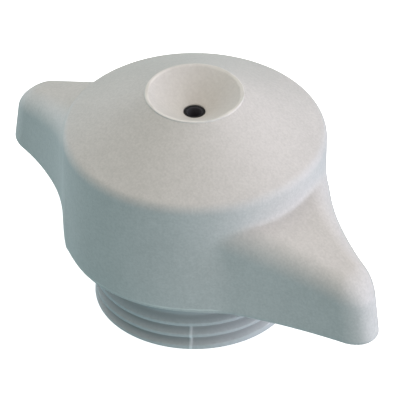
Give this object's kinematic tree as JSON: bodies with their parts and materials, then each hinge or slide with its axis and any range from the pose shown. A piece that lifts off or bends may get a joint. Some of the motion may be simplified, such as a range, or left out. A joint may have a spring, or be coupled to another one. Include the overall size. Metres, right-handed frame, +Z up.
{
  "type": "screw-in pour spout",
  "caption": "Winged screw-in pour spout: conical hub with a shallow dish and small port, two swept finger wings, threaded neck and a ball valve inside.",
  "frame": {"origin": "centre of the neck's lower rim, on the pouring axis; the part stands on it", "axes": "+Z up the pouring axis, from the neck to the port; +X from tip to tip along the wings; +Y across them"},
  "size_m": [0.0824, 0.044, 0.0408],
  "materials": {
    "cap_plastic": "fine matt grain",
    "dish_plastic": "smooth, slightly creamy",
    "seal_rubber": "matt",
    "tube_plastic": "black, satin",
    "neck_plastic": "smooth",
    "gasket_silicone": "translucent milky silicone",
    "valve_plastic": "natural acetal",
    "ball_steel": "polished",
    "seat_silicone": "matt",
    "clip_steel": "spring steel"
  },
  "bodies": {
    "spout": {"winged_cap": "cap_plastic", "dish_insert": "dish_plastic", "dish_o_ring": "seal_rubber", "pour_tube": "tube_plastic", "tube_o_ring": "seal_rubber", "threaded_neck": "neck_plastic", "neck_gasket": "gasket_silicone", "valve_housing": "neck_plastic", "valve_cage": "valve_plastic", "valve_seat": "seat_silicone", "inlet_plate": "valve_plastic", "retaining_clip": "clip_steel"},
    "ball": {"valve_ball": "ball_steel"}
  },
  "joints": [
    {"name": "ball_lift", "type": "slide", "parent": "spout", "child": "ball", "axis": [0, 0, 1], "range_m": [0, 0.0026]}
  ]
}
